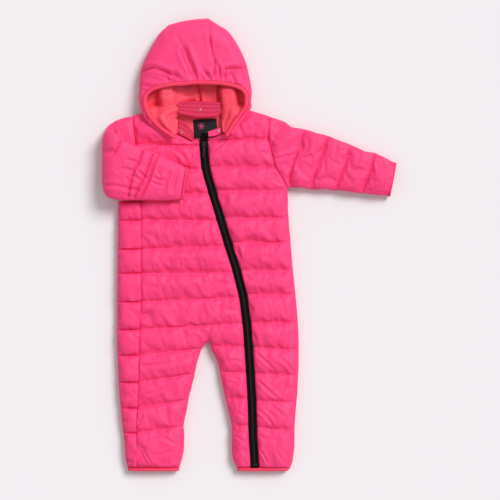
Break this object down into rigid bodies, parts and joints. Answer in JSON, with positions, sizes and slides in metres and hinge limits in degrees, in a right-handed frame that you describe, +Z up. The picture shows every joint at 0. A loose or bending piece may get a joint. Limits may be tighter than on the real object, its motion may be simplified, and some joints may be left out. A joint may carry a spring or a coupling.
{
  "type": "baby snowsuit",
  "caption": "Hooded quilted baby snowsuit laid flat on its back, one sleeve folded over the chest, with a full-length zip running down to one leg.",
  "frame": {"origin": "centre of the garment's outline, on the surface it lies on", "axes": "+Z up from the surface, +Y from the hems towards the hood, +X towards the wearer's left"},
  "size_m": [0.5013, 0.77, 0.0506],
  "materials": {
    "shell": "smooth pink nylon, quilted over wadding",
    "lining": "coral woven lining",
    "binding": "coral elastic binding",
    "zip_tape": "black woven zip tape with a coil",
    "zip_hardware": "black enamel over cast metal",
    "label": "black woven label",
    "snap": "pressed metal"
  },
  "bodies": {
    "garment": {"front_right": "shell", "front_left": "shell", "back": "shell", "sleeve_left": "shell", "sleeve_right": "shell", "hood_side_right": "shell", "hood_side_left": "shell", "hood_centre": "shell", "collar_back": "shell", "collar_right": "shell", "collar_left": "shell", "hood_side_right_lining": "lining", "hood_side_left_lining": "lining", "hood_centre_lining": "lining", "neck_lining": "lining", "cuff_binding_left": "binding", "cuff_binding_right": "binding", "hem_binding_left": "binding", "hem_binding_right": "binding", "hood_binding": "binding", "zip_tape_left": "zip_tape", "zip_tape_right": "zip_tape", "zip_slider": "zip_hardware", "zip_stop": "zip_hardware", "label": "label", "snap_right": "snap", "snap_back": "snap", "snap_left": "snap"},
    "pull": {"zip_pull": "zip_hardware"}
  },
  "joints": [
    {"name": "pull_tab", "type": "hinge", "parent": "garment", "child": "pull", "pos_m": [-0.07853, 0.168, 0.0234], "axis": [-1, 0, 0], "range_deg": [0, 150]}
  ]
}
